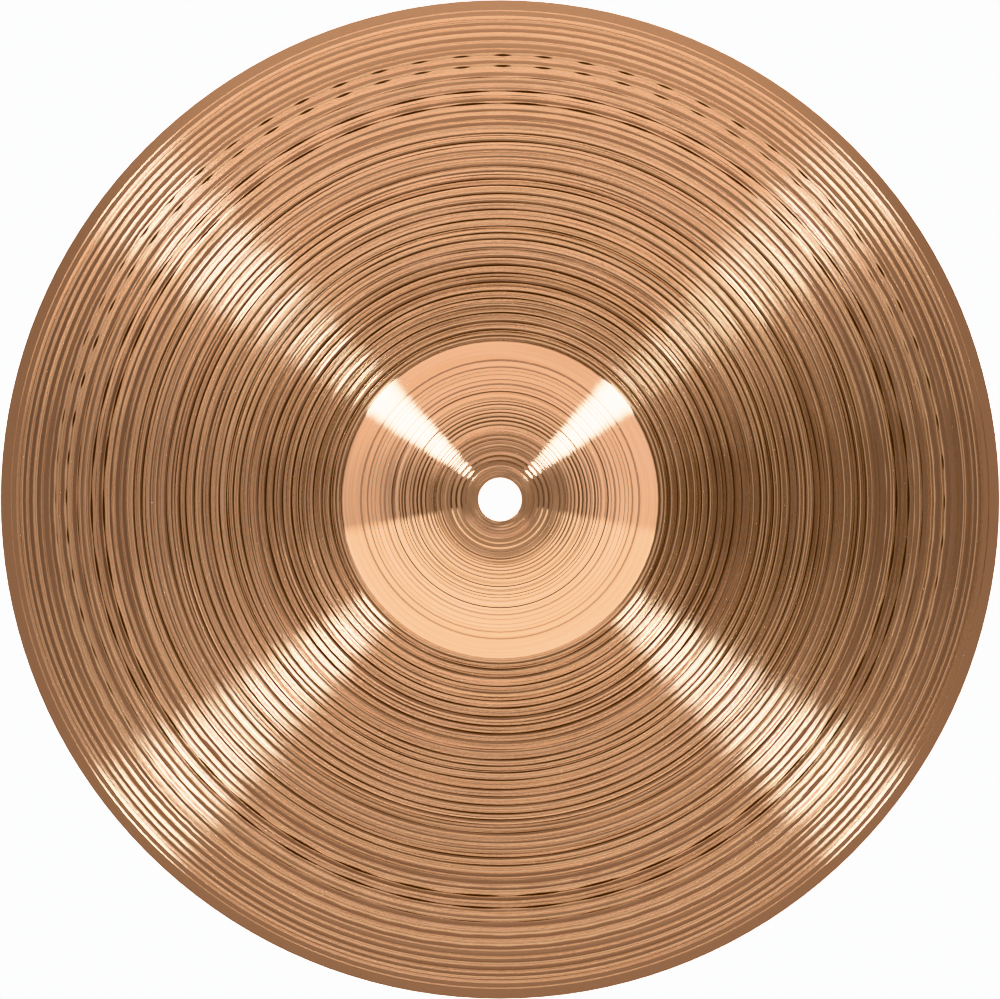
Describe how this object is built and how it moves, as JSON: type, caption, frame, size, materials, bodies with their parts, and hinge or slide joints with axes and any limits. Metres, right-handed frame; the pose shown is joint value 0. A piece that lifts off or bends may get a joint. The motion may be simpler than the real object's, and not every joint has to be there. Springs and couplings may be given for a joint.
{
  "type": "crash cymbal",
  "caption": "Round turned bronze crash cymbal: a thin shallow dish with a raised central bell and a centre hole.",
  "frame": {"origin": "centre of the plane that the rim rests on, directly below the centre hole", "axes": "+Z along the turning axis, up through the bell; +X and +Y lie in the rim's plane, and the disc is the same all round"},
  "size_m": [0.3048, 0.3048, 0.0254],
  "materials": {
    "bronze": "turned B8 bronze, bright, with concentric tool lines and rows of small hammer marks"
  },
  "bodies": {
    "root": {"cymbal": "bronze"}
  },
  "joints": []
}
